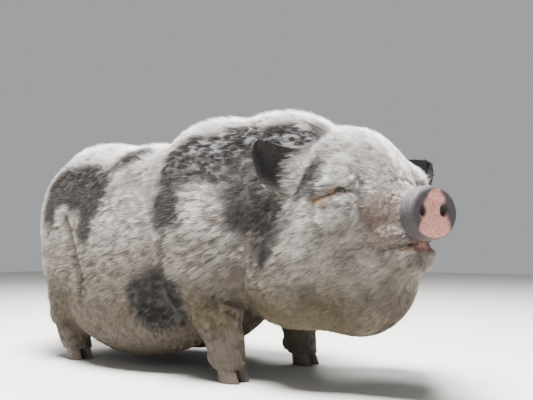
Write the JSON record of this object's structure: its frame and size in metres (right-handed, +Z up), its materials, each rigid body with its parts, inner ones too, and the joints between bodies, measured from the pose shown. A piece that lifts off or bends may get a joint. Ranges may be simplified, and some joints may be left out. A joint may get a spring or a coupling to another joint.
{
  "type": "pot-bellied pig, still life-size model",
  "caption": "Life-size still model of a standing pot-bellied pig, head turned to its right, with heavy jowls, low belly and dark patches.",
  "frame": {"origin": "middle of the floor under the model's box, at the level of the soles", "axes": "+X forward along the trunk, +Y to the pig's left, +Z up"},
  "size_m": [1.0788, 0.3978, 0.5052],
  "materials": {
    "haired_skin": "matt pale grey hide under coarse white and grey bristles",
    "ear_skin": "matt dark grey-brown hide",
    "snout": "bare moist pink gristle with a slate rim",
    "eyeball": "wet dark brown",
    "claw_horn": "worn dull dark horn"
  },
  "bodies": {
    "root": {"torso": "haired_skin", "neck": "haired_skin", "head": "haired_skin", "lower_jaw": "haired_skin", "eye_right": "eyeball", "eye_left": "eyeball", "snout_disc": "snout", "ear_right": "ear_skin", "ear_left": "ear_skin", "foreleg_right": "haired_skin", "foreclaw_right_inner": "claw_horn", "foredewclaw_right_inner": "claw_horn", "foreclaw_right_outer": "claw_horn", "foredewclaw_right_outer": "claw_horn", "foreleg_left": "haired_skin", "foreclaw_left_inner": "claw_horn", "foredewclaw_left_inner": "claw_horn", "foreclaw_left_outer": "claw_horn", "foredewclaw_left_outer": "claw_horn", "hindleg_right": "haired_skin", "hindclaw_right_inner": "claw_horn", "hinddewclaw_right_inner": "claw_horn", "hindclaw_right_outer": "claw_horn", "hinddewclaw_right_outer": "claw_horn", "hindleg_left": "haired_skin", "hindclaw_left_inner": "claw_horn", "hinddewclaw_left_inner": "claw_horn", "hindclaw_left_outer": "claw_horn", "hinddewclaw_left_outer": "claw_horn", "tail": "haired_skin"}
  },
  "joints": []
}
